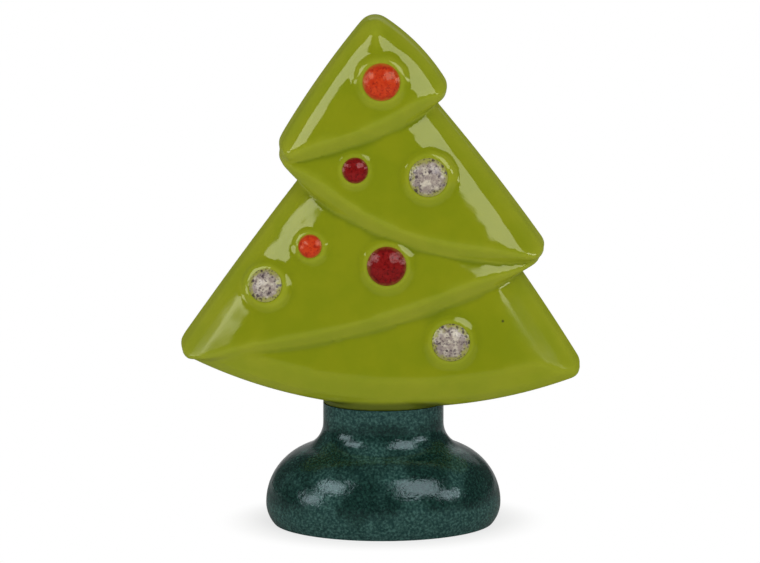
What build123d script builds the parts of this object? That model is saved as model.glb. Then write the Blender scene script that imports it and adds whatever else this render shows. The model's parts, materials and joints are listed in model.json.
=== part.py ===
from build123d import *
import math
import os

# Sizes in millimetres; X is the photo's right, Y goes away from the viewer, Z is up from the ground

# Pedestal
FOOT_HALF_WIDTH = 34.8
FOOT_HALF_DEPTH = 24.8
FOOT_FACE_HALF_WIDTH = 32.6
BELLY_HEIGHT = 6.0
NECK_HALF_WIDTH = 17.8
NECK_START = 30.3
NECK_TOP = 36.3
FLARE_RADIUS = 8.0
WALL = 4.0
FOOT_RING_WIDTH = 5.0
FOOT_RECESS = 1.5
VENT_DIAMETER = 8.0
SHOULDER_WIDTH = 3.0
TENON_WALL = 3.0
TENON_HEIGHT = 8.0
SEAT_CLEARANCE = 0.25
COLLAR_HEIGHT = 2.7

# Tree body: gap from the neck to the hem's lowest point, then centres of the bends as (across, up)
HEM_GAP = 0.1
TIP = (-2.4, 108.5)
FOLD_UPPER_LEFT = (-26.2, 76.2)
FOLD_RIGHT = (43.9, 46.2)
FOLD_LOWER_LEFT = (-56.1, 16.9)
CORNER_TOP_RIGHT = (14.2, 92.9)
CORNER_SKIRT_RIGHT = (54.4, 10.6)
TIP_RADIUS = 5.3
CORNER_TOP_RADIUS = 4.25
CORNER_SKIRT_RADIUS = 3.5
FOLD_UPPER_LEFT_RADIUS = 4.2
FOLD_RIGHT_RADIUS = 3.2
FOLD_LOWER_LEFT_RADIUS = 3.4
APEX_RADIUS = 4.0
LEAST_RADIUS = 0.6

# Tree body: shift of a tier's apex, hidden under the corner above it, as (across, up)
APEX_UPPER = (-10.0, 2.4)
APEX_LOWER = (13.8, -0.8)
APEX_SKIRT = (-18.3, 6.4)

# Tree body: shift of a tier's corner under the fold above it, as (across, up), and its smaller bend
UNDER_UPPER_LEFT = (-0.3, -3.2)
UNDER_RIGHT = (-1.0, -2.4)
UNDER_LOWER_LEFT = (0.6, -0.5)
FOLD_TUCK = 0.3

# Tree body: bow of the sides and sag of the hems, then the depths of the faces
TOP_LEFT_BOW = 0.8
TOP_RIGHT_BOW = 1.2
UPPER_RIGHT_BOW = 0.8
SIDE_BOW = 0.5
TOP_HEM_SAG = 2.8
UPPER_HEM_SAG = 8.7
LOWER_HEM_SAG = 6.0
SKIRT_HEM_SAG = 10.7
SKIRT_HALF_DEPTH = 16.0
LEAN = 0.13
LAP_STEP = 3.5
FOLD_STEP = 1.6
SIDE_DRAFT = 0.5

# Tree body: steep rim along a free side and its extra width at its lower end on the right,
# then the pillowed strip inside it and the lip along a hem
TOP_RIM = 3.8
UPPER_RIM = 5.1
LOWER_RIM = 6.4
SKIRT_RIM = 8.2
TOP_RIM_DROP = 3.8
UPPER_RIM_DROP = 4.8
LOWER_RIM_DROP = 5.6
SKIRT_RIM_DROP = 6.4
UPPER_RIM_TAPER = 1.4
SKIRT_RIM_TAPER = 0.8
TOP_PILLOW = 8.0
UPPER_PILLOW = 10.0
LOWER_PILLOW = 15.0
SKIRT_PILLOW = 4.0
TOP_PILLOW_DROP = 1.6
UPPER_PILLOW_DROP = 2.0
LOWER_PILLOW_DROP = 3.0
SKIRT_PILLOW_DROP = 0.6
LIP = 4.4
LIP_DROP = 3.2
SKIRT_LIP = 9.0
SKIRT_LIP_DROP = 6.2
LIP_ROUNDING = 1.15
SKIRT_LIP_ROUNDING = 2.0
PILLOW_STEPS = 3
EDGE_STEPS = 3

# Ornaments: place as (across, up), radius of the bead and height of its crown, then the glaze rings
BEAD_ORANGE_TOP = (-0.8, 95.8, 5.5, 2.5)
BEAD_RED_SMALL = (-8.4, 70.2, 3.8, 1.6)
BEAD_WHITE_UPPER = (12.7, 68.1, 5.7, 2.5)
BEAD_ORANGE_SMALL = (-21.4, 47.7, 3.5, 1.5)
BEAD_RED_LARGE = (0.7, 42.2, 5.8, 2.5)
BEAD_WHITE_LEFT = (-34.3, 36.2, 5.0, 2.2)
BEAD_WHITE_SKIRT = (19.4, 19.6, 5.6, 2.4)
BEAD_CLEARANCE = 0.1
SOCKET_DEPTH = 1.5
RING_WIDTH = 1.8
RING_HEIGHT = 0.8
RING_CREST = 0.3
SMALL_RING_WIDTH = 1.2
SMALL_RING_HEIGHT = 0.5


def elliptic_post(half_x, half_y, bottom, top):
    """Upright solid with an elliptic section."""
    return extrude(Plane.XY.offset(bottom) * Ellipse(half_x, half_y), top - bottom)


def turned(lines):
    """Solid of revolution about the Z axis from a half outline in the XZ plane."""
    return revolve(make_face(lines), Axis.Z)


# Outline of one tier: three rounded corners joined by bowed sides, in (across, up) coordinates
class Corner:
    """A rounded corner: the centre of its bend and the bend's radius."""

    def __init__(self, place, radius):
        self.centre = Vector(place)
        self.radius = radius

    def tucked(self, shift):
        """The bend of the tier that lies underneath: shifted, and a little smaller."""
        return Corner(self.centre + Vector(*shift), self.radius - FOLD_TUCK)

    def apex_below(self, shift):
        """The apex of the next tier down, which this corner's tier covers."""
        return Corner(self.centre + Vector(*shift), APEX_RADIUS)


def crossings(centre, radius, other, other_radius):
    """Both points where two circles cross."""
    apart = (other - centre).length
    along = (apart ** 2 + radius ** 2 - other_radius ** 2) / (2 * apart)
    across = math.sqrt(radius ** 2 - along ** 2)
    ahead = (other - centre) / apart
    foot = centre + ahead * along
    aside = Vector(-ahead.Y, ahead.X) * across
    return foot + aside, foot - aside


def side_circle(start, end, sag):
    """Centre and radius of the bowed side that runs tangent to two bends, anticlockwise round the tier."""
    apart = (end.centre - start.centre).length
    radius = apart ** 2 / (8 * sag) + (start.radius + end.radius) / 2
    left, right = crossings(start.centre, radius - start.radius, end.centre, radius - end.radius)
    return left, radius


class Slope:
    """A sloping front face: how far it stands before the tree's middle plane at a point of the outline."""

    def __init__(self, base, across, up):
        self.base = base
        self.across = across
        self.up = up

    def depth(self, point):
        return self.base + self.across * point.X + self.up * point.Y

    def lapped(self, fold, free):
        """Face of the tier on top of this one: a small step at the fold, a full one at its free corner."""
        rise = (LAP_STEP - FOLD_STEP) / (free.centre.X - fold.centre.X)
        return Slope(self.base + FOLD_STEP - rise * fold.centre.X, self.across + rise, self.up)


class Rim:
    """Edge of a tier: how far in from the outline its free sides and its hem lie at each drop."""

    def __init__(self, width, drop, pillow, pillow_drop, lip, lip_drop, rounding, taper=0):
        self.taper = taper
        self.width = width
        self.pillow = pillow
        self.pillow_drop = pillow_drop
        total = pillow_drop + drop
        free = []
        for step in range(PILLOW_STEPS):
            out = step / PILLOW_STEPS
            free.append((pillow_drop * out ** 2, width + pillow * (1 - out)))
        for step in range(EDGE_STEPS + 1):
            turn = math.pi / 2 * step / EDGE_STEPS
            down = (1 - math.cos(turn) + math.sin(turn)) / 2
            inset = SIDE_DRAFT + (width - SIDE_DRAFT) * (1 - math.sin(turn))
            free.append((pillow_drop + drop * down, inset))
        self.levels = []
        for depth, inset in free:
            left = 1 - min(depth / lip_drop, 1)
            taper = SIDE_DRAFT * (1 - depth / total)
            hem = SIDE_DRAFT + taper + (lip - SIDE_DRAFT) * left ** rounding
            self.levels.append((depth, (inset, hem, inset)))


class Tier:
    """One lapped triangle of the tree: its outline, the slope of its face, its rim and its two solids."""

    def __init__(self, apex, left, right, sags, slope, rim):
        self.corners = (apex, left, right)
        self.right_middle = (right.centre + apex.centre) / 2
        self.right_turn = 2 * math.degrees(rim.taper / (right.centre - apex.centre).length)
        self.slope = slope
        self.rim = rim
        self.sides = [side_circle(self.corners[i], self.corners[(i + 1) % 3], sags[i]) for i in range(3)]

    def hem_bottom(self):
        """Lowest point of the bowed side between the two lower corners."""
        centre, radius = self.sides[1]
        return centre.Y - radius

    def inner_side(self, i, inset):
        """Circle of a side moved in by an inset; the right one also turns, to widen its rim downwards."""
        centre, radius = self.sides[i]
        if i == 2:
            turn = self.right_turn * min(inset / self.rim.width, 1)
            centre = self.right_middle + (centre - self.right_middle).rotate(Axis.Z, -turn)
        return centre, radius - inset

    def section(self, insets, face, level):
        """Closed outline, each side inset from the edge, on the plane that face gives, at a level."""
        inner = [self.inner_side(i, inset) for i, inset in enumerate(insets)]
        bends = []
        for i in range(3):
            before, before_radius = inner[i - 1]
            after, after_radius = inner[i]
            corner = self.corners[i]
            bend = max(corner.radius - max(insets[i - 1], insets[i]), LEAST_RADIUS)
            both = crossings(before, before_radius - bend, after, after_radius - bend)
            middle = min(both, key=lambda point: (point - corner.centre).length)
            start = before + (middle - before).normalized() * before_radius
            end = after + (middle - after).normalized() * after_radius
            crown = middle + ((start + end) / 2 - middle).normalized() * bend
            bends.append((start, crown, end))

        def lifted(point):
            return (point.X, face(point), level + point.Y)

        edges = []
        for i in range(3):
            start, crown, end = bends[i]
            next_start = bends[(i + 1) % 3][0]
            centre, radius = inner[i]
            belly = centre + ((end + next_start) / 2 - centre).normalized() * radius
            edges.append(ThreePointArc(lifted(start), lifted(crown), lifted(end)))
            edges.append(ThreePointArc(lifted(end), lifted(belly), lifted(next_start)))
        return Wire(edges)

    def front(self, drop):
        return lambda point: drop - self.slope.depth(point)

    def back(self, drop):
        return lambda point: self.slope.depth(point) - drop

    def middle(self, point):
        return 0

    def body(self, level):
        """The pillow shape: pillowed strips and steep rims on both faces, drafted sides between them."""
        fronts = [self.section(insets, self.front(drop), level) for drop, insets in self.rim.levels]
        edge = self.section((0, 0, 0), self.middle, level)
        backs = [self.section(insets, self.back(drop), level) for drop, insets in self.rim.levels]
        return Solid.make_loft([*fronts, edge, *reversed(backs)], True)

    def hollow(self, level):
        """The space inside the fired wall."""
        drop = self.rim.pillow_drop + WALL
        shoulder = [max(self.rim.width, WALL) + SIDE_DRAFT] * 3
        sections = [self.section(shoulder, self.front(drop), level)]
        sections.append(self.section([WALL] * 3, self.middle, level))
        sections.append(self.section(shoulder, self.back(drop), level))
        return Solid.make_loft(sections, True)

    def face_plane(self, across, up, level):
        """Plane on the front face at a point, looking outwards; the pillowed strips lean to their side."""
        point = Vector(across, up)
        drop = -self.slope.depth(point)
        fall = Vector(-self.slope.across, -self.slope.up)
        for centre, radius in (self.inner_side(0, self.rim.width), self.inner_side(2, self.rim.width)):
            away = point - centre
            out = max(0, 1 - (radius - away.length) / self.rim.pillow)
            drop += self.rim.pillow_drop * out ** 2
            fall += away.normalized() * (2 * self.rim.pillow_drop * out / self.rim.pillow)
        return Plane((across, drop, level + up), x_dir=(1, fall.X, 0), z_dir=(fall.X, -1, fall.Y))


# Four tiers, folded left and right like a ribbon
tip = Corner(TIP, TIP_RADIUS)
fold_upper_left = Corner(FOLD_UPPER_LEFT, FOLD_UPPER_LEFT_RADIUS)
fold_right = Corner(FOLD_RIGHT, FOLD_RIGHT_RADIUS)
fold_lower_left = Corner(FOLD_LOWER_LEFT, FOLD_LOWER_LEFT_RADIUS)
under_upper_left = fold_upper_left.tucked(UNDER_UPPER_LEFT)
under_right = fold_right.tucked(UNDER_RIGHT)
under_lower_left = fold_lower_left.tucked(UNDER_LOWER_LEFT)
corner_top = Corner(CORNER_TOP_RIGHT, CORNER_TOP_RADIUS)
corner_skirt = Corner(CORNER_SKIRT_RIGHT, CORNER_SKIRT_RADIUS)
apex_upper = corner_top.apex_below(APEX_UPPER)
apex_lower = fold_upper_left.apex_below(APEX_LOWER)
apex_skirt = fold_right.apex_below(APEX_SKIRT)
skirt_slope = Slope(SKIRT_HALF_DEPTH, 0, -LEAN)
lower_slope = skirt_slope.lapped(fold_lower_left, fold_right)
upper_slope = lower_slope.lapped(fold_right, fold_upper_left)
top_slope = upper_slope.lapped(fold_upper_left, corner_top)
top_sags = (TOP_LEFT_BOW, TOP_HEM_SAG, TOP_RIGHT_BOW)
upper_sags = (SIDE_BOW, UPPER_HEM_SAG, UPPER_RIGHT_BOW)
lower_sags = (SIDE_BOW, LOWER_HEM_SAG, SIDE_BOW)
skirt_sags = (SIDE_BOW, SKIRT_HEM_SAG, SIDE_BOW)
lip = (LIP, LIP_DROP, LIP_ROUNDING)
top_rim = Rim(TOP_RIM, TOP_RIM_DROP, TOP_PILLOW, TOP_PILLOW_DROP, *lip)
upper_rim = Rim(UPPER_RIM, UPPER_RIM_DROP, UPPER_PILLOW, UPPER_PILLOW_DROP, *lip, UPPER_RIM_TAPER)
lower_rim = Rim(LOWER_RIM, LOWER_RIM_DROP, LOWER_PILLOW, LOWER_PILLOW_DROP, *lip)
skirt_lip = (SKIRT_LIP, SKIRT_LIP_DROP, SKIRT_LIP_ROUNDING)
skirt_rim = Rim(SKIRT_RIM, SKIRT_RIM_DROP, SKIRT_PILLOW, SKIRT_PILLOW_DROP, *skirt_lip, SKIRT_RIM_TAPER)
tiers = {
    "tier_top": Tier(tip, fold_upper_left, corner_top, top_sags, top_slope, top_rim),
    "tier_upper": Tier(apex_upper, under_upper_left, fold_right, upper_sags, upper_slope, upper_rim),
    "tier_lower": Tier(apex_lower, fold_lower_left, under_right, lower_sags, lower_slope, lower_rim),
    "tier_skirt": Tier(apex_skirt, under_lower_left, corner_skirt, skirt_sags, skirt_slope, skirt_rim),
}
level = NECK_TOP + HEM_GAP - tiers["tier_skirt"].hem_bottom()

# Ornaments: a bead with a flat back in a shallow socket, and the raised ring of glaze round it
large_ring = (RING_WIDTH, RING_HEIGHT)
small_ring = (SMALL_RING_WIDTH, SMALL_RING_HEIGHT)
beads = {
    "ornament_orange_top": ("tier_top", BEAD_ORANGE_TOP, large_ring),
    "ornament_red_small": ("tier_upper", BEAD_RED_SMALL, small_ring),
    "ornament_white_upper": ("tier_upper", BEAD_WHITE_UPPER, large_ring),
    "ornament_orange_small": ("tier_lower", BEAD_ORANGE_SMALL, small_ring),
    "ornament_red_large": ("tier_lower", BEAD_RED_LARGE, large_ring),
    "ornament_white_left": ("tier_lower", BEAD_WHITE_LEFT, large_ring),
    "ornament_white_skirt": ("tier_skirt", BEAD_WHITE_SKIRT, large_ring),
}


def bead_solid(radius, crown, edge):
    """Flat back, short upright edge as high as the ring round it, and a low dome."""
    dome = crown - edge
    sphere = (radius ** 2 + dome ** 2) / (2 * dome)
    lean = math.asin(radius / sphere) / 2
    shoulder = (sphere * math.sin(lean), 0, crown - sphere + sphere * math.cos(lean))
    outline = Polyline((0, 0, crown), (0, 0, -SOCKET_DEPTH), (radius, 0, -SOCKET_DEPTH), (radius, 0, edge))
    return turned(outline + ThreePointArc((radius, 0, edge), shoulder, (0, 0, crown)))


def ring_solid(radius, width, height):
    """Boss with a sloping shoulder; its middle is cut out later for the socket."""
    crest = radius + BEAD_CLEARANCE + RING_CREST
    outer = crest + width
    foot = [(outer, 0, 0), (outer, 0, -SOCKET_DEPTH), (0, 0, -SOCKET_DEPTH)]
    return turned(Polyline(*foot, (0, 0, height), (crest, 0, height), (outer, 0, 0)))


pieces = {}
bosses = {name: [] for name in tiers}
sockets = {name: [] for name in tiers}
for name, (host, (across, up, radius, crown), ring) in beads.items():
    place = tiers[host].face_plane(across, up, level)
    pieces[name] = place * bead_solid(radius, crown, ring[1])
    bosses[host].append(place * ring_solid(radius, *ring))
    socket = Cylinder(radius + BEAD_CLEARANCE, 4 * SOCKET_DEPTH)
    sockets[host].append(place * Pos(0, 0, SOCKET_DEPTH) * socket)

# Tenon of the pedestal, which goes up into the tree
oval = FOOT_HALF_DEPTH / FOOT_HALF_WIDTH
tenon_x = NECK_HALF_WIDTH - SHOULDER_WIDTH
tenon_y = NECK_HALF_WIDTH * oval - SHOULDER_WIDTH
tenon_top = NECK_TOP + TENON_HEIGHT
tenon = elliptic_post(tenon_x, tenon_y, NECK_TOP - WALL, tenon_top)
tenon_hole = elliptic_post(tenon_x + SEAT_CLEARANCE, tenon_y + SEAT_CLEARANCE, NECK_TOP - WALL, tenon_top)

# Each tier is cut off under the tiers above it and hollowed right through to its neighbours
bodies = {name: tier.body(level) for name, tier in tiers.items()}
hollows = [tier.hollow(level) for tier in tiers.values()]
above = []
for name, body in bodies.items():
    shell = body
    for boss in bosses[name]:
        shell = shell + boss
    for cut in above + hollows + sockets[name]:
        shell = shell - cut
    pieces[name] = shell
    above.append(body)

# Collar: the ring of green glaze on the neck, with a flat seat for it cut into the hem
neck_y = NECK_HALF_WIDTH * oval
collar_top = NECK_TOP + COLLAR_HEIGHT
collar = elliptic_post(NECK_HALF_WIDTH, neck_y, NECK_TOP, collar_top)
pieces["neck_collar"] = collar - tenon_hole
seat = elliptic_post(NECK_HALF_WIDTH + SEAT_CLEARANCE, neck_y + SEAT_CLEARANCE, NECK_TOP - WALL, collar_top)
pieces["tier_skirt"] = pieces["tier_skirt"] - tenon_hole - seat

# Pedestal: turned profile pressed to an oval, hollow, with a foot ring and a vent in its floor
gap = NECK_HALF_WIDTH + FLARE_RADIUS - FOOT_HALF_WIDTH
rise = NECK_START - BELLY_HEIGHT
shoulder_radius = (gap ** 2 + rise ** 2 - FLARE_RADIUS ** 2) / (2 * (FLARE_RADIUS - gap))
shoulder_centre = Vector(FOOT_HALF_WIDTH - shoulder_radius, 0, BELLY_HEIGHT)
flare_centre = Vector(NECK_HALF_WIDTH + FLARE_RADIUS, 0, NECK_START)
to_flare = (flare_centre - shoulder_centre).normalized()
meet = shoulder_centre + to_flare * shoulder_radius
flare_mid = flare_centre + (Vector(-1, 0, 0) - to_flare).normalized() * FLARE_RADIUS
shoulder_mid = shoulder_centre + (Vector(1, 0, 0) + to_flare).normalized() * shoulder_radius
undercut = FOOT_HALF_WIDTH - FOOT_FACE_HALF_WIDTH
heel_radius = (undercut ** 2 + BELLY_HEIGHT ** 2) / (2 * undercut)
heel_centre = Vector(FOOT_HALF_WIDTH - heel_radius, 0, BELLY_HEIGHT)
belly = Vector(FOOT_HALF_WIDTH, 0, BELLY_HEIGHT)
foot_edge = Vector(FOOT_FACE_HALF_WIDTH, 0, 0)
heel_mid = heel_centre + ((belly - heel_centre) + (foot_edge - heel_centre)).normalized() * heel_radius
neck_edge = Vector(NECK_HALF_WIDTH, 0, NECK_START)
below = Vector(0, 0, -FOOT_RECESS)
beyond = Vector(0, 0, NECK_TOP + WALL)
profile = Polyline(foot_edge, foot_edge + below, below, beyond, beyond + Vector(NECK_HALF_WIDTH), neck_edge)
profile += ThreePointArc(neck_edge, flare_mid, meet)
profile += ThreePointArc(meet, shoulder_mid, belly)
profile += ThreePointArc(belly, heel_mid, foot_edge)
trim = Pos(0, 0, NECK_TOP / 2) * Box(4 * FOOT_HALF_WIDTH, 4 * FOOT_HALF_DEPTH, NECK_TOP)
pedestal = (scale(turned(profile), by=(1, oval, 1)) & trim) + tenon

inner_radius = shoulder_radius - WALL
floor_top = FOOT_RECESS + WALL
floor_turn = math.asin((floor_top - BELLY_HEIGHT) / inner_radius)
middle_turn = (floor_turn + math.pi / 2) / 2
inner_crown = shoulder_centre + Vector(0, 0, inner_radius)
inner_mid = shoulder_centre + Vector(math.cos(middle_turn), 0, math.sin(middle_turn)) * inner_radius
floor_edge = shoulder_centre + Vector(math.cos(floor_turn), 0, math.sin(floor_turn)) * inner_radius
chamber = Polyline(floor_edge, (0, 0, floor_top), (0, 0, inner_crown.Z), inner_crown)
chamber = turned(chamber + ThreePointArc(inner_crown, inner_mid, floor_edge))
chamber_oval = (FOOT_HALF_DEPTH - WALL) / (FOOT_HALF_WIDTH - WALL)
pedestal = pedestal - scale(chamber, by=(1, chamber_oval, 1))
neck_bore = elliptic_post(tenon_x - TENON_WALL, tenon_y - TENON_WALL, inner_crown.Z - WALL, tenon_top)
pedestal = pedestal - neck_bore
recess_x = FOOT_FACE_HALF_WIDTH - FOOT_RING_WIDTH
recess_y = FOOT_FACE_HALF_WIDTH * oval - FOOT_RING_WIDTH
pedestal = pedestal - elliptic_post(recess_x, recess_y, -FOOT_RECESS, FOOT_RECESS)
pieces["pedestal"] = pedestal - Pos(0, 0, floor_top / 2) * Cylinder(VENT_DIAMETER / 2, 2 * floor_top)

os.makedirs("parts", exist_ok=True)
for name, piece in pieces.items():
    export_step(piece, f"parts/{name}.step")
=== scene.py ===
"""Glazed ceramic tree with bead ornaments on a speckled pedestal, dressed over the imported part."""
import json
import math

import bpy
import numpy as np
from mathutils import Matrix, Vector

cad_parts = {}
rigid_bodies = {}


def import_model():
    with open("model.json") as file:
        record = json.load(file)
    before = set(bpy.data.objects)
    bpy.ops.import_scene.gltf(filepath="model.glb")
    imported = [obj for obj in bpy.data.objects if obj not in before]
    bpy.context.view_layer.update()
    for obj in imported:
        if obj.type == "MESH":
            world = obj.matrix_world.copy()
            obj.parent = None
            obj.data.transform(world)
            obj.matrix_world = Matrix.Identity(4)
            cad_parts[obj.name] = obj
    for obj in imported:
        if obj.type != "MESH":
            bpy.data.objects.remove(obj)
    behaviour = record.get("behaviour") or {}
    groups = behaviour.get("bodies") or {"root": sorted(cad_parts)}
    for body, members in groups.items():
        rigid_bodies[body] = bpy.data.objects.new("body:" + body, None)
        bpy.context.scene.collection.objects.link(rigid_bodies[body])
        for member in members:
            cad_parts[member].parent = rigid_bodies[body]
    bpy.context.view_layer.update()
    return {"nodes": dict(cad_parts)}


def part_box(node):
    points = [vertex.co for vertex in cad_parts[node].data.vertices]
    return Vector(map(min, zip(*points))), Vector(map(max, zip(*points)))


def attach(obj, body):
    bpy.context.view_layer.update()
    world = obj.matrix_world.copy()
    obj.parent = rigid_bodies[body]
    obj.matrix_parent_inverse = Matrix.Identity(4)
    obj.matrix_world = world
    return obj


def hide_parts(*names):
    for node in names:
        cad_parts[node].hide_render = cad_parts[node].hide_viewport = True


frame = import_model()

bl_info = {
    "name": "Glazed Ceramic Tree",
    "version": (1, 0, 0),
    "blender": (4, 5, 0),
    "location": "View3D > Sidebar > Ceramic",
    "description": "Dresses a tabletop ceramic tree with its glazes, beads and studio",
    "category": "Add Mesh",
}

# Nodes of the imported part
TIERS = ("tier_top", "tier_upper", "tier_lower", "tier_skirt")
BEADS = {
    "orange": ("ornament_orange_top", "ornament_orange_small"),
    "red": ("ornament_red_small", "ornament_red_large"),
    "white": ("ornament_white_upper", "ornament_white_left", "ornament_white_skirt"),
}
BEAD_NODES = [node for nodes in BEADS.values() for node in nodes]

# Skin of glaze over the tiers, in metres where it is a length
MERGE_REACH = 1e-6
FILLER_SHARE = 0.93  # width of the filler inside the collar, in shares of the collar's
FILLER_DEPTH = 0.005
FILLER_RISE = 0.0026  # middle of the filler above the foot of the collar
SMOOTH_ROUNDS = 10
COAT = 0.00012  # thickness that the glaze adds to the skin
POOL_ROUNDS = 40  # rounds of softening that tell hollows from edges
RIM_LEAN = 0.30  # sideways lean of the surface at which the painted light on the rims starts
RIM_SPAN = 0.35
# share of painted light on steep rims, and of thin glaze in the ring round each bead
LIGHT_AND_RING_SHARE = 0.8
UNDER_LEAN = 0.15  # painted light from below: its share on a surface that stands upright, and how fast it grows as it turns down
UNDER_SLOPE = 1.6
RING_WIDTH = 0.0012  # thin glaze round each bead
COLLAR_REACH = 1.40  # outer edge of the painted shade at the collar, in shares of the collar's half width
COLLAR_FADE = 0.12
COLLAR_TOP = 0.0003  # upper edge of that painted shade above the collar
COLLAR_FADE_UP = 0.0010
BEAD_CREASE = math.radians(40)
PEDESTAL_CREASE = math.radians(35)

# Places on the glazes, in metres; a pair is where a change starts and where it is full
FRONT = (0.0, -0.004)
PINHOLE_ACROSS, PINHOLE_UP = 0.0345, 0.0632
PINHOLE_EDGE = (0.00055, 0.0002)
LOWEST_TIER = (0.076, 0.066)
LEFT_CORNER = (-0.036, -0.056)
RIGHT_CORNER = (0.030, 0.042)
BELLY_FOOT = (0.003, 0.011)
BELLY_NECK = (0.029, 0.036)

# Size of the lumps in each pattern of the glazes, in metres
GREEN_LUMPS = {"mottle": 0.009, "swell": 0.011, "haze": 0.004}
BEAD_LUMPS = {"cloud": 0.0012, "freckle": 0.0007, "rag": 0.0015, "dimple": 0.0018}
WHITE_LUMPS = {
    "crowd": 0.0030, "fine": 0.0009, "coarse": 0.0017, "cloud": 0.0018,
    "smudge": 0.0013, "rag": 0.0021, "dimple": 0.0012,
}
TEAL_LUMPS = {"speckle": 0.00076, "cloud": 0.012, "pit": 0.0016, "swell": 0.006, "haze": 0.0014}

# Depth, in metres, and strength of the unevenness of each glaze
GREEN_RELIEF = (0.0006, 0.45)
BEAD_RELIEF = (0.0003, 0.5)
TEAL_RELIEF = (0.00045, 0.26)

# Roughness of the green that varies all over, and what the two lower corners add to it
HAZE = 0.03
DULL_LEFT = 0.17
DULL_RIGHT = 0.16

# Shares of matte glaze at grazing angles and at the right corner
VEIL = 0.9
MATTE_RIGHT = 0.62

# Tints that multiply a colour, and the tint of each gloss
MOTTLE_TINTS = ((0.95, 0.97, 0.9), (1.06, 1.03, 1.1))
# the belly tints darken the clouds over the pedestal's belly as painted shade under the tree's hem
BELLY_SHADE_TINTS = ((0.30, 0.44, 0.40), (1.12, 1.08, 1.08))
GREEN_SHEEN = (1.0, 1.0, 0.7, 1.0)
TEAL_SHEEN = (0.72, 0.92, 1.0, 1.0)
BEAD_SHEEN = {"orange": (1.0, 0.7, 0.5, 1.0), "red": (1.0, 0.6, 0.6, 1.0)}

# Studio, in metres where it is a length
AIM = Vector((-0.0010, 0.0, 0.0725))
PICTURE_WIDTH = 0.22307  # what the picture spans at the tree
SENSOR_WIDTH = 36.0  # millimetres
VIEW_REACH = 100.0
LAMP_DISTANCE = 0.95
FLOOR_SIZE = 6.0
BACKDROP_SIZE = 3.0
PAPER = (0.92, 0.92, 0.92)
PAPER_IN_GLOSS = (0.30, 0.30, 0.30)
GLOW_IN_GLOSS = 0.30  # white of the paper behind the tree in reflections
GLOW_BEHIND = (0.02, 0.20)  # where that white starts behind the tree and where it is full
GLOW_ASIDE = (0.8, 1.8)  # where it fades out to the sides
SHADE_OVAL = (1.0, 1.4, 1.0)  # stretches the depth, so that the shade follows the oval foot
SHADE_REACH = (0.0345, 0.050)  # from full shade to none
FLOOR_SHADE = 0.30  # share of the real shade that the camera sees on the floor
ROOM = 0.42  # light of the room, and what of it shows in reflections
ROOM_IN_GLOSS = 0.08


# Settings that a user would change
def colour(name, description, default):
    return bpy.props.FloatVectorProperty(
        name=name, description=description, default=default, subtype="COLOR", size=3, min=0.0, max=1.0
    )


def length(name, description, default):
    return bpy.props.FloatProperty(
        name=name, description=description, default=default, unit="LENGTH", precision=5
    )


def share(name, description, default, low, high):
    return bpy.props.FloatProperty(name=name, description=description, default=default, min=low, max=high)


def angle(name, description, degrees):
    return bpy.props.FloatProperty(
        name=name, description=description, default=math.radians(degrees), subtype="ANGLE"
    )


def power(name, description, default):
    return bpy.props.FloatProperty(name=name, description=description, default=default, unit="POWER")


class TreeGlaze(bpy.types.PropertyGroup):
    """Glaze of the tree body."""

    field: colour("Field", "Green of the glaze on the broad faces", (0.215, 0.252, 0.0050))
    # deeper green where the glaze pools in folds, which also paints the shade in the creases under the lips
    pool: colour("Pool", "Deeper green where the glaze runs thick in a fold", (0.150, 0.188, 0.0045))
    # paler green where the glaze thins over edges, which also paints light on the rims
    edge: colour("Edge", "Paler green where the glaze draws thin over an edge", (0.270, 0.310, 0.015))
    # painted light: the paler green on steep rims and under the lips, also used for the thin glaze round
    # each bead
    painted_light_and_ring: colour("Thin", "Paler green of the thin glaze on rims and under lips", (0.290, 0.330, 0.018))
    # painted shade: the dark olive under the hem where the tree meets the neck
    collar: colour("Collar", "Olive of the glaze where it meets the neck", (0.085, 0.105, 0.007))
    pinhole: colour("Pinhole", "Dark of the pinhole on the lowest tier", (0.03, 0.03, 0.012))
    gloss: share("Roughness", "Roughness of the glaze", 0.06, 0.0, 1.0)
    voxel: length("Grain", "Mesh size of the glazed skin", 0.00058)
    sink: length("Sink", "How far the glaze under the beads lies below them", 0.0007)


class BeadGlaze(bpy.types.PropertyGroup):
    """Glazes of the ornaments."""

    orange: colour("Orange", "Main colour of the orange beads", (0.49, 0.031, 0.0075))
    orange_dark: colour("Orange, dark", "Freckles and rim of the orange beads", (0.26, 0.013, 0.006))
    orange_bright: colour("Orange, bright", "Clouds in the orange beads", (0.57, 0.051, 0.012))
    orange_melt: colour("Orange, melt", "Where the orange beads melt into the green", (0.42, 0.130, 0.014))
    red: colour("Dark red", "Main colour of the dark red beads", (0.175, 0.0040, 0.0040))
    red_dark: colour("Red, dark", "Freckles and rim of the dark red beads", (0.070, 0.002, 0.003))
    red_bright: colour("Red, bright", "Clouds in the dark red beads", (0.230, 0.008, 0.008))
    red_melt: colour("Red, melt", "Where the dark red beads melt into the green", (0.215, 0.070, 0.012))
    white: colour("White", "Main colour of the speckled beads", (0.60, 0.54, 0.43))
    cloud: colour("Cloud", "Darker clouds in the speckled beads", (0.30, 0.245, 0.215))
    smudge: colour("Smudge", "Smudges between the specks", (0.13, 0.10, 0.115))
    speck: colour("Specks", "Colour of the dark specks", (0.035, 0.018, 0.030))
    creep: colour("Creep", "Green that creeps over the rim of the speckled beads", (0.32, 0.315, 0.06))
    lift: length("Lift", "How far the beads stand out of the glaze", 0.0002)
    spread: share("Spread", "Width of the beads, in shares of the solid ones", 0.98, 0.5, 2.0)


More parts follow.
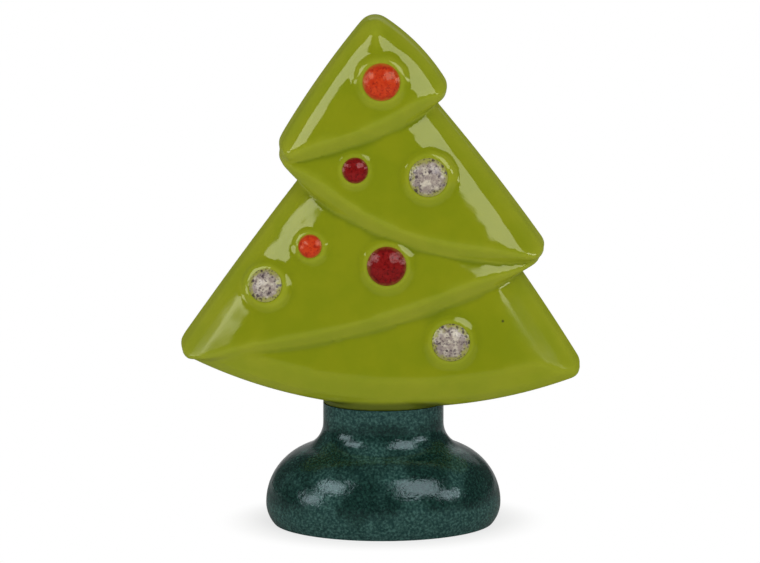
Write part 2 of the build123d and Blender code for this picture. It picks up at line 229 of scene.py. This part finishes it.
class PedestalGlaze(bpy.types.PropertyGroup):
    """Glaze of the pedestal."""

    dark: colour("Dark", "Ground of the speckled glaze", (0.0070, 0.0330, 0.0290))
    middle: colour("Middle", "Main teal of the speckled glaze", (0.0195, 0.0580, 0.0500))
    light: colour("Light", "Bright specks of the speckled glaze", (0.0420, 0.1080, 0.0930))


class Studio(bpy.types.PropertyGroup):
    """Camera and light."""

    height: angle("Elevation", "Camera above the horizon", 11.5)
    turn: angle("Azimuth", "Camera to the right of the front", -1.0)
    distance: length("Distance", "Camera to the middle of the tree", 1.1)
    key: power("Left light", "Strength of the left softbox", 1.6)
    fill: power("Right light", "Strength of the right softbox", 2.7)


class CeramicSettings(bpy.types.PropertyGroup):
    """All settings of the tree."""

    tree: bpy.props.PointerProperty(type=TreeGlaze, name="Tree", description="Glaze of the tree body")
    beads: bpy.props.PointerProperty(type=BeadGlaze, name="Beads", description="Glazes of the ornaments")
    pedestal: bpy.props.PointerProperty(
        type=PedestalGlaze, name="Pedestal", description="Glaze of the pedestal"
    )
    studio: bpy.props.PointerProperty(type=Studio, name="Studio", description="Camera and light")


# Shader graphs written as expressions
class Wire:
    """An output socket that takes part in Python expressions; each operator adds a Math node."""

    def __init__(self, graph, socket):
        self.graph = graph
        self.socket = socket

    def __add__(self, other):
        return self.graph.math("ADD", self, other)

    def __radd__(self, other):
        return self.graph.math("ADD", other, self)

    def __sub__(self, other):
        return self.graph.math("SUBTRACT", self, other)

    def __rsub__(self, other):
        return self.graph.math("SUBTRACT", other, self)

    def __mul__(self, other):
        return self.graph.math("MULTIPLY", self, other)

    def __rmul__(self, other):
        return self.graph.math("MULTIPLY", other, self)

    def __pow__(self, other):
        return self.graph.math("POWER", self, other)


class Graph:
    """Node tree of a material or of the world, emptied first."""

    def __init__(self, owner):
        self.owner = owner
        self.owner.use_nodes = True
        self.tree = self.owner.node_tree
        self.tree.nodes.clear()

    def node(self, kind, settings=None, inputs=None, output=0):
        """Adds a node, applies its settings, fills its sockets and gives one output."""
        made = self.tree.nodes.new(kind)
        for key, value in (settings or {}).items():
            setattr(made, key, value)
        for key, value in (inputs or {}).items():
            if isinstance(value, Wire):
                self.tree.links.new(value.socket, made.inputs[key])
            else:
                made.inputs[key].default_value = value
        return Wire(self, made.outputs[output]) if made.outputs else None

    def math(self, operation, first, second):
        return self.node("ShaderNodeMath", {"operation": operation}, {0: first, 1: second})

    def place(self):
        return self.node("ShaderNodeTexCoord", output="Object")

    def axis(self, name):
        return self.node("ShaderNodeSeparateXYZ", None, {0: self.place()}, name)

    def ray(self, kind):
        return self.node("ShaderNodeLightPath", output=kind)

    def mirrored(self):
        """1 where the surface is seen in a reflection or through glass."""
        return self.ray("Is Glossy Ray") + self.ray("Is Transmission Ray")

    def noise(self, size, detail=2.0, roughness=0.5):
        """Soft noise whose lumps are about one size across."""
        inputs = {"Vector": self.place(), "Scale": 1 / size, "Detail": detail, "Roughness": roughness}
        return self.node("ShaderNodeTexNoise", None, inputs, "Fac")

    def cells(self, size):
        """Distance from the middle of ragged cells, in shares of their size."""
        inputs = {"Vector": self.place(), "Scale": 1.6 / size}
        drift = self.node("ShaderNodeTexNoise", None, inputs, "Color")
        drift = self.node("ShaderNodeVectorMath", {"operation": "SCALE"}, {0: drift, "Scale": 0.7 * size})
        moved = self.node("ShaderNodeVectorMath", {"operation": "ADD"}, {0: self.place(), 1: drift})
        return self.node("ShaderNodeTexVoronoi", None, {"Vector": moved, "Scale": 1 / size}, "Distance")

    def step(self, value, low, high):
        """Smooth step from 0 at low to 1 at high."""
        inputs = {"Value": value, "From Min": low, "From Max": high}
        return self.node("ShaderNodeMapRange", {"interpolation_type": "SMOOTHSTEP"}, inputs)

    def blend(self, factor, first, second):
        """Colour mix."""
        first = first if isinstance(first, Wire) else (*first, 1.0)
        second = second if isinstance(second, Wire) else (*second, 1.0)
        return self.node("ShaderNodeMix", {"data_type": "RGBA"}, {0: factor, 6: first, 7: second}, 2)

    def tint(self, first, second):
        """Product of two colours."""
        settings = {"data_type": "RGBA", "blend_type": "MULTIPLY"}
        return self.node("ShaderNodeMix", settings, {0: 1.0, 6: first, 7: second}, 2)

    def attribute(self, name):
        return self.node("ShaderNodeAttribute", {"attribute_name": name}, None, "Fac")

    def bump(self, height, distance, strength):
        inputs = {"Height": height, "Distance": distance, "Strength": strength}
        return self.node("ShaderNodeBump", None, inputs)

    def principled(self, inputs, other=None, factor=None):
        """Ends the material with one shader, or with a mix of two."""
        shader = self.node("ShaderNodeBsdfPrincipled", None, inputs)
        if other:
            second = self.node("ShaderNodeBsdfPrincipled", None, other)
            shader = self.node("ShaderNodeMixShader", None, {0: factor, 1: shader, 2: second})
        self.node("ShaderNodeOutputMaterial", None, {"Surface": shader})
        return self.owner


def green_glaze(look):
    """Clear lime-green gloss, faintly mottled and duller at two corners: deeper where it pools in folds,
    with painted shade in the creases and under the hem at the neck, and paler over edges, with painted
    light on rims and undersides.
    """
    g = Graph(bpy.data.materials.new("green_glaze"))
    hollow_depth = g.attribute("pool")
    # deeper green where the glaze pools, which also paints the shade in the creases
    body = g.blend(g.step(hollow_depth, 0.02, 0.30), look.field, look.pool)
    # paler green where the glaze thins over convex edges, which also paints light on the rims
    body = g.blend(g.step(hollow_depth, 0.0, -0.40), body, look.edge)
    # painted light on steep rims and undersides, with the thin glaze round each bead
    body = g.blend(g.attribute("painted_light_and_ring"), body, look.painted_light_and_ring)
    mottle = g.step(g.noise(GREEN_LUMPS["mottle"], 3.0), 0.35, 0.70)
    body = g.tint(body, g.blend(mottle, *MOTTLE_TINTS))
    # painted shade under the hem where the tree meets the neck
    body = g.blend(g.attribute("collar"), body, look.collar)
    across = g.axis("X") - PINHOLE_ACROSS
    up = g.axis("Z") - PINHOLE_UP
    pinhole = g.step((across * across + up * up) ** 0.5, *PINHOLE_EDGE) * g.step(g.axis("Y"), *FRONT)
    body = g.blend(pinhole * 0.8, body, look.pinhole)
    normal = g.bump(g.noise(GREEN_LUMPS["swell"], 1.0), *GREEN_RELIEF)
    low = g.step(g.axis("Z"), *LOWEST_TIER)
    left = g.step(g.axis("X"), *LEFT_CORNER) * low
    right = g.step(g.axis("X"), *RIGHT_CORNER) * low
    haze = g.noise(GREEN_LUMPS["haze"]) * HAZE
    rough = haze + left * DULL_LEFT + right * DULL_RIGHT + (look.gloss - HAZE / 2)
    coat = {"Base Color": body, "Roughness": rough, "Normal": normal}
    graze = g.node("ShaderNodeLayerWeight", None, {"Blend": 0.5}, "Facing")
    veil = g.step(graze, 0.45, 0.85) * VEIL
    return g.principled(
        {**coat, "IOR": 1.5, "Specular Tint": GREEN_SHEEN},
        {**coat, "Specular IOR Level": 0.0},
        veil + (1 - veil) * right * MATTE_RIGHT,
    )


def bead_glaze(look, kind):
    """Glassy bead: clouded colour, darker freckles, and a deeper rim that melts into the green."""
    main, dark, bright, melt = (getattr(look, kind + shade) for shade in ("", "_dark", "_bright", "_melt"))
    g = Graph(bpy.data.materials.new(kind + "_glaze"))
    cloud = g.step(g.noise(BEAD_LUMPS["cloud"], 3.0, 0.65), 0.36, 0.64)
    freckle = g.step(g.noise(BEAD_LUMPS["freckle"], 2.0, 0.6), 0.54, 0.66)
    body = g.blend(cloud, main, bright)
    ragged = g.attribute("rim") + g.noise(BEAD_LUMPS["rag"]) * 0.3
    body = g.blend(g.step(ragged, 0.85, 1.05) * 0.45, body, dark)
    body = g.blend(freckle * 0.75, body, dark)
    body = g.blend(g.step(ragged, 0.97, 1.15) * 0.8, body, melt)
    normal = g.bump(g.noise(BEAD_LUMPS["dimple"], 3.0), *BEAD_RELIEF)
    gloss = {"Roughness": 0.13, "IOR": 1.45, "Specular Tint": BEAD_SHEEN[kind]}
    return g.principled({"Base Color": body, "Normal": normal, **gloss})


def speckled_white(look):
    """Cream-grey bead with dark purple-black specks of two sizes, crowded and greened towards its rim."""
    g = Graph(bpy.data.materials.new("white_glaze"))
    rim = g.attribute("rim")
    crowd = g.step(g.noise(WHITE_LUMPS["crowd"]) + rim * 0.22, 0.36, 0.70)
    fine = g.step(g.cells(WHITE_LUMPS["fine"]) + (1 - crowd) * 0.18, 0.44, 0.24)
    coarse = g.step(g.cells(WHITE_LUMPS["coarse"]) + (1 - crowd) * 0.16, 0.38, 0.20)
    cloud = g.step(g.noise(WHITE_LUMPS["cloud"], 3.0, 0.6) + rim * 0.10, 0.36, 0.66)
    body = g.blend(cloud, look.white, look.cloud)
    smudge = g.step(g.noise(WHITE_LUMPS["smudge"], 3.0, 0.7) + crowd * 0.08, 0.60, 0.72)
    body = g.blend(smudge * 0.7, body, look.smudge)
    ragged = rim + g.noise(WHITE_LUMPS["rag"], 3.0, 0.6) * 0.85
    body = g.blend(g.step(ragged, 1.10, 1.36) * 0.9, body, look.creep)
    body = g.blend(fine * 0.55, body, look.speck)
    body = g.blend(coarse * 0.80, body, look.speck)
    normal = g.bump(g.noise(WHITE_LUMPS["dimple"]), *BEAD_RELIEF)
    return g.principled({"Base Color": body, "Normal": normal, "Roughness": 0.17, "IOR": 1.5})


def teal_glaze(look):
    """Dark teal gloss: fine speckle and random darker clouds, with painted shade over the belly under the
    tree's hem, on a slightly pitted surface.
    """
    g = Graph(bpy.data.materials.new("teal_glaze"))
    speckle = g.noise(TEAL_LUMPS["speckle"], 2.0, 0.62)
    body = g.blend(g.step(speckle, 0.38, 0.50), look.dark, look.middle)
    body = g.blend(g.step(speckle, 0.51, 0.65), body, look.light)
    height = g.axis("Z")
    # painted shade: the clouds are pushed darker over the belly, under the tree's hem
    belly = g.step(height, *BELLY_FOOT) * (1 - g.step(height, *BELLY_NECK))
    cloud = g.step(g.noise(TEAL_LUMPS["cloud"]) - belly * 0.33 + 0.16, 0.28, 0.54)
    body = g.tint(body, g.blend(cloud, *BELLY_SHADE_TINTS))
    pits = g.noise(TEAL_LUMPS["pit"], 3.0, 0.65) + g.noise(TEAL_LUMPS["swell"], 1.0) * 1.2
    normal = g.bump(pits, *TEAL_RELIEF)
    rough = g.step(g.noise(TEAL_LUMPS["haze"]), 0.4, 0.7) * 0.07 + 0.08
    gloss = {"Roughness": rough, "IOR": 1.52, "Specular Tint": TEAL_SHEEN}
    return g.principled({"Base Color": body, "Normal": normal, **gloss})


# Modelling helpers
def activate(*objects):
    """Selects these objects alone, the first of them active."""
    bpy.ops.object.select_all(action="DESELECT")
    for obj in objects:
        obj.select_set(True)
    bpy.context.view_layer.objects.active = objects[0]


def joined_copy(name, nodes):
    """One new object from copies of CAD nodes, their loose triangles merged."""
    copies = []
    for node in nodes:
        copy = bpy.data.objects.new(name, frame["nodes"][node].data.copy())
        bpy.context.scene.collection.objects.link(copy)
        copies.append(copy)
    activate(*copies)
    bpy.ops.object.join()
    piece = bpy.context.view_layer.objects.active
    piece.name = name
    piece.data.materials.clear()
    bpy.ops.mesh.customdata_custom_splitnormals_clear()
    bpy.ops.object.mode_set(mode="EDIT")
    bpy.ops.mesh.select_all(action="SELECT")
    bpy.ops.mesh.remove_doubles(threshold=MERGE_REACH)
    bpy.ops.object.mode_set(mode="OBJECT")
    return piece


def modify(piece, kind, **settings):
    """Adds a modifier, sets it and applies it."""
    bpy.ops.object.modifier_add(type=kind)
    modifier = piece.modifiers[-1]
    for key, value in settings.items():
        setattr(modifier, key, value)
    bpy.ops.object.modifier_apply(modifier=modifier.name)


def coordinates(mesh, what="co"):
    """Places or normals of all points, one row each."""
    values = np.zeros(len(mesh.vertices) * 3)
    mesh.vertices.foreach_get(what, values)
    return values.reshape(-1, 3)


def keep(mesh, name, values):
    """Stores one number per point under a name that the glazes read."""
    attribute = mesh.attributes.new(name, "FLOAT", "POINT")
    attribute.data.foreach_set("value", values.astype(np.float32))


def hollows(mesh):
    """How many millimetres each point lies in a hollow, found by softening a copy of the surface."""
    points = coordinates(mesh)
    normals = coordinates(mesh, "normal")
    ends = np.zeros(len(mesh.edges) * 2, dtype=np.int64)
    mesh.edges.foreach_get("vertices", ends)
    ends = ends.reshape(-1, 2)
    near = np.concatenate([ends, ends[:, ::-1]])
    count = np.bincount(near[:, 0], minlength=len(points))[:, None]
    soft = points.copy()
    for _ in range(POOL_ROUNDS):
        total = np.stack([np.bincount(near[:, 0], soft[near[:, 1], i], len(points)) for i in range(3)], 1)
        soft = 0.5 * soft + 0.5 * total / count
    return ((soft - points) * normals).sum(1) * 1000


def painted_light_and_glaze_ring(mesh):
    """Share of paler glaze at each point: painted light on steep rims and on undersides, and thin glaze in
    a ring round each bead.
    """
    points = coordinates(mesh)
    normals = coordinates(mesh, "normal")
    steep = np.clip((np.abs(normals[:, 0]) - RIM_LEAN) / RIM_SPAN, 0, 1) * LIGHT_AND_RING_SHARE
    under = np.clip(UNDER_LEAN - normals[:, 2] * UNDER_SLOPE, 0, 1)
    shares = np.maximum(steep, under)
    for node in BEAD_NODES:
        low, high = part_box(node)
        middle = (low + high) / 2
        out = np.hypot(points[:, 0] - middle.x, points[:, 2] - middle.z) - (high.x - low.x) / 2
        ring = np.clip(1.2 - np.abs(out) / RING_WIDTH, 0, 1) * (points[:, 1] < 0) * LIGHT_AND_RING_SHARE
        shares = np.maximum(shares, ring)
    return shares


def collar_shade_ring(mesh, low, high):
    """1 for each point on the ring between the neck and the hem, fading to 0 around it: where the shade
    under the hem is painted.
    """
    points = coordinates(mesh)
    middle, half = (low + high) / 2, (high - low) / 2
    out = np.hypot((points[:, 0] - middle.x) / half.x, (points[:, 1] - middle.y) / half.y)
    inside = np.clip((COLLAR_REACH - out) / COLLAR_FADE, 0, 1)
    return inside * np.clip((high.z + COLLAR_TOP - points[:, 2]) / COLLAR_FADE_UP, 0, 1)


def finish_piece(piece, material, nodes):
    """Dresses a finished piece and lets it stand for its CAD nodes."""
    piece.data.materials.append(material)
    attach(piece, "root")
    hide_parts(*nodes)


class CERAMIC_OT_tree(bpy.types.Operator):
    """Draws the tiers, the collar and the bead seats together under one skin of glaze"""

    bl_idname = "ceramic.tree"
    bl_label = "Glazed tree"

    def execute(self, context):
        look = context.scene.ceramic.tree
        nodes = [*TIERS, "neck_collar"]
        seats = joined_copy("seats", BEAD_NODES)
        bpy.ops.object.mode_set(mode="EDIT")
        bpy.ops.transform.translate(value=(0.0, look.sink, 0.0))
        bpy.ops.object.mode_set(mode="OBJECT")
        tree = joined_copy("tree_skin", nodes)
        activate(tree, seats)
        bpy.ops.object.join()
        low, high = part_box("neck_collar")
        self.fill_collar(low, high)
        modify(tree, "REMESH", mode="VOXEL", voxel_size=look.voxel)
        self.drop_inside(tree)
        modify(tree, "SMOOTH", factor=0.5, iterations=SMOOTH_ROUNDS)
        bpy.ops.object.shade_smooth()
        modify(tree, "DISPLACE", strength=COAT, mid_level=0.0)
        # attributes for the glaze: depth in hollows, painted light on rims and undersides with the ring
        # round the beads, and painted shade at the collar
        keep(tree.data, "pool", hollows(tree.data))
        keep(tree.data, "painted_light_and_ring", painted_light_and_glaze_ring(tree.data))
        keep(tree.data, "collar", collar_shade_ring(tree.data, low, high))
        finish_piece(tree, green_glaze(look), nodes)
        return {"FINISHED"}

    def fill_collar(self, low, high):
        """Closes the ring of the collar with a filler, so that the skin has no bore there."""
        middle = (low + high) / 2
        bpy.ops.object.mode_set(mode="EDIT")
        bpy.ops.mesh.primitive_cylinder_add(
            vertices=64, radius=0.5, depth=FILLER_DEPTH, location=(middle.x, middle.y, low.z + FILLER_RISE)
        )
        bpy.ops.transform.resize(
            value=((high.x - low.x) * FILLER_SHARE, (high.y - low.y) * FILLER_SHARE, 1.0),
            center_override=(middle.x, middle.y, low.z),
        )
        bpy.ops.object.mode_set(mode="OBJECT")

    def drop_inside(self, tree):
        """Deletes every shell but the outer one, which holds the highest point."""
        top = int(np.argmax(coordinates(tree.data)[:, 2]))
        bpy.ops.object.mode_set(mode="EDIT")
        bpy.ops.mesh.select_mode(type="VERT")
        bpy.ops.mesh.select_all(action="DESELECT")
        bpy.ops.object.mode_set(mode="OBJECT")
        tree.data.vertices[top].select = True
        bpy.ops.object.mode_set(mode="EDIT")
        bpy.ops.mesh.select_linked()
        bpy.ops.mesh.select_all(action="INVERT")
        bpy.ops.mesh.delete(type="VERT")
        bpy.ops.object.mode_set(mode="OBJECT")


class CERAMIC_OT_beads(bpy.types.Operator):
    """Sets the seven glassy beads in their rings of glaze"""

    bl_idname = "ceramic.beads"
    bl_label = "Bead ornaments"

    def execute(self, context):
        look = context.scene.ceramic.beads
        glazes = {kind: bead_glaze(look, kind) for kind in ("orange", "red")}
        glazes["white"] = speckled_white(look)
        for kind, nodes in BEADS.items():
            for node in nodes:
                bead = joined_copy(node.replace("ornament", "bead"), [node])
                self.raise_bead(bead, look.lift, look.spread)
                keep(bead.data, "rim", self.reach(bead))
                bpy.ops.object.shade_smooth_by_angle(angle=BEAD_CREASE)
                finish_piece(bead, glazes[kind], [node])
        return {"FINISHED"}

    def back_face(self, bead):
        """Flat back of the bead, square to its axis."""
        return max(bead.data.polygons, key=lambda face: face.normal.y)

    def raise_bead(self, bead, lift, spread):
        """Moves the bead out along its axis and sets its width, so that it stands on the glaze."""
        back = self.back_face(bead)
        centre = sum((Vector(corner) for corner in bead.bound_box), Vector()) / 8
        bpy.ops.object.mode_set(mode="EDIT")
        bpy.ops.mesh.select_all(action="SELECT")
        bpy.ops.transform.resize(value=(spread, 1.0, spread), center_override=centre)
        bpy.ops.transform.translate(value=back.normal * -lift)
        bpy.ops.object.mode_set(mode="OBJECT")

    def reach(self, bead):
        """Distance of each point from the bead's axis, in shares of the radius."""
        axis = np.array(self.back_face(bead).normal)
        points = coordinates(bead.data)
        spokes = points - (points.max(0) + points.min(0)) / 2
        spokes -= np.outer(spokes @ axis, axis)
        reach = np.linalg.norm(spokes, axis=1)
        return reach / reach.max()


class CERAMIC_OT_pedestal(bpy.types.Operator):
    """Glazes the flared pedestal with fine teal speckle"""

    bl_idname = "ceramic.pedestal"
    bl_label = "Speckled pedestal"

    def execute(self, context):
        look = context.scene.ceramic.pedestal
        pedestal = joined_copy("pedestal_skin", ["pedestal"])
        bpy.ops.object.shade_smooth_by_angle(angle=PEDESTAL_CREASE)
        finish_piece(pedestal, teal_glaze(look), ["pedestal"])
        return {"FINISHED"}


class CERAMIC_OT_studio(bpy.types.Operator):
    """Lays the pale floor and sets a backdrop, three softboxes, two strip lights and the camera"""

    bl_idname = "ceramic.studio"
    bl_label = "Studio"

    def execute(self, context):
        look = context.scene.ceramic.studio
        scene = context.scene
        self.sheet("floor", FLOOR_SIZE, place=(0.0, 0.0, 0.0), tilt=0.0, shade=FLOOR_SHADE)
        far_edge = (0.0, FLOOR_SIZE / 2, BACKDROP_SIZE / 2)
        self.sheet("backdrop", BACKDROP_SIZE, place=far_edge, tilt=math.pi / 2, shade=0.0)
        self.world(scene)
        self.softbox("softbox_left", turn=-45.5, height=28.8, size=(0.39, 0.31), energy=look.key)
        self.softbox("softbox_right", turn=30.5, height=30, size=(0.53, 0.44), energy=look.fill)
        self.softbox("strip_left", turn=-60, height=8, size=(0.32, 0.23), energy=0.54 * look.key)
        self.softbox("strip_right", turn=56, height=14, size=(0.28, 0.15), energy=0.25 * look.fill)
        self.softbox(
            "softbox_back", turn=165, height=40, size=(2.0, 1.6), energy=1.6 * look.fill, distance=2.0
        )
        self.camera(scene, look)
        scene.view_settings.view_transform = "Standard"
        return {"FINISHED"}

    def paper(self, name, shade):
        """White paper that shows a share of the tree's shade, dim in reflections but for a glow behind."""
        g = Graph(bpy.data.materials.new(name))
        seen = g.ray("Is Camera Ray")
        mirrored = g.mirrored()
        aside = g.node("ShaderNodeMath", {"operation": "ABSOLUTE"}, {0: g.axis("X")})
        behind = g.step(g.axis("Y"), *GLOW_BEHIND) * (1 - g.step(aside, *GLOW_ASIDE)) * GLOW_IN_GLOSS
        oval = g.node("ShaderNodeVectorMath", {"operation": "MULTIPLY"}, {0: g.place(), 1: SHADE_OVAL})
        reach = g.node("ShaderNodeVectorMath", {"operation": "LENGTH"}, {0: oval}, "Value")
        white = seen * (g.step(reach, *SHADE_REACH) * shade + (1 - shade))
        tone = g.blend(mirrored, PAPER, PAPER_IN_GLOSS)
        paper = g.node("ShaderNodeBsdfDiffuse", None, {"Color": tone})
        glow = g.node("ShaderNodeEmission", None, {"Color": (1.0, 1.0, 1.0, 1.0), "Strength": 1.0})
        shader = g.node("ShaderNodeMixShader", None, {0: white + mirrored * behind, 1: paper, 2: glow})
        g.node("ShaderNodeOutputMaterial", None, {"Surface": shader})
        return g.owner

    def sheet(self, name, size, place, tilt, shade):
        """Square sheet of paper for the floor or the backdrop."""
        bpy.ops.object.select_all(action="DESELECT")
        bpy.ops.mesh.primitive_plane_add(size=size, location=place, rotation=(tilt, 0.0, 0.0))
        bpy.ops.object.transform_apply(location=True, rotation=True)
        sheet = bpy.context.view_layer.objects.active
        sheet.name = name
        sheet.data.materials.append(self.paper(name + "_paper", shade))

    def world(self, scene):
        """Soft room light: white to the camera, and dim in reflections, as in a studio with dark walls."""
        scene.world = bpy.data.worlds.new("studio")
        g = Graph(scene.world)
        strength = g.ray("Is Camera Ray") * (1 - ROOM) - g.mirrored() * (ROOM - ROOM_IN_GLOSS) + ROOM
        light = g.node("ShaderNodeBackground", None, {"Color": (1.0, 1.0, 1.0, 1.0), "Strength": strength})
        g.node("ShaderNodeOutputWorld", None, {"Surface": light})

    def softbox(self, name, turn, height, size, energy, distance=LAMP_DISTANCE):
        """Area light at an angle, in degrees, to the right of the viewer and above the horizon."""
        light = bpy.data.lights.new(name, "AREA")
        light.shape = "RECTANGLE"
        light.size, light.size_y = size
        light.energy = energy
        lamp = bpy.data.objects.new(name, light)
        bpy.context.scene.collection.objects.link(lamp)
        self.face_tree(lamp, math.radians(turn), math.radians(height), distance)

    def camera(self, scene, look):
        lens = bpy.data.cameras.new("camera")
        lens.sensor_width = SENSOR_WIDTH
        lens.lens = SENSOR_WIDTH * look.distance / PICTURE_WIDTH
        lens.clip_end = VIEW_REACH
        camera = bpy.data.objects.new("camera", lens)
        scene.collection.objects.link(camera)
        self.face_tree(camera, look.turn, look.height, look.distance)
        scene.camera = camera

    def face_tree(self, thing, turn, height, distance):
        """Sets a lamp or the camera round the tree, looking at its middle."""
        flat = math.cos(height)
        away = Vector((math.sin(turn) * flat, -math.cos(turn) * flat, math.sin(height)))
        thing.location = AIM + away * distance
        thing.rotation_euler = away.to_track_quat("Z", "Y").to_euler()


class CERAMIC_PT_panel(bpy.types.Panel):
    """Lists the steps and their settings"""

    bl_idname = "CERAMIC_PT_panel"
    bl_label = "Ceramic tree"
    bl_space_type = "VIEW_3D"
    bl_region_type = "UI"
    bl_category = "Ceramic"

    def draw(self, context):
        settings = context.scene.ceramic
        for group in ("tree", "beads", "pedestal", "studio"):
            box = self.layout.box()
            box.operator("ceramic." + group)
            values = getattr(settings, group)
            for name in values.bl_rna.properties.keys():
                if name not in ("rna_type", "name"):
                    box.prop(values, name)


CLASSES = (
    TreeGlaze,
    BeadGlaze,
    PedestalGlaze,
    Studio,
    CeramicSettings,
    CERAMIC_OT_tree,
    CERAMIC_OT_beads,
    CERAMIC_OT_pedestal,
    CERAMIC_OT_studio,
    CERAMIC_PT_panel,
)


def register():
    for cls in CLASSES:
        bpy.utils.register_class(cls)
    bpy.types.Scene.ceramic = bpy.props.PointerProperty(type=CeramicSettings)


def unregister():
    del bpy.types.Scene.ceramic
    for cls in reversed(CLASSES):
        bpy.utils.unregister_class(cls)


def main():
    register()
    bpy.ops.ceramic.tree()
    bpy.ops.ceramic.beads()
    bpy.ops.ceramic.pedestal()
    bpy.ops.ceramic.studio()
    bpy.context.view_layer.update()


if __name__ == "__main__":
    main()
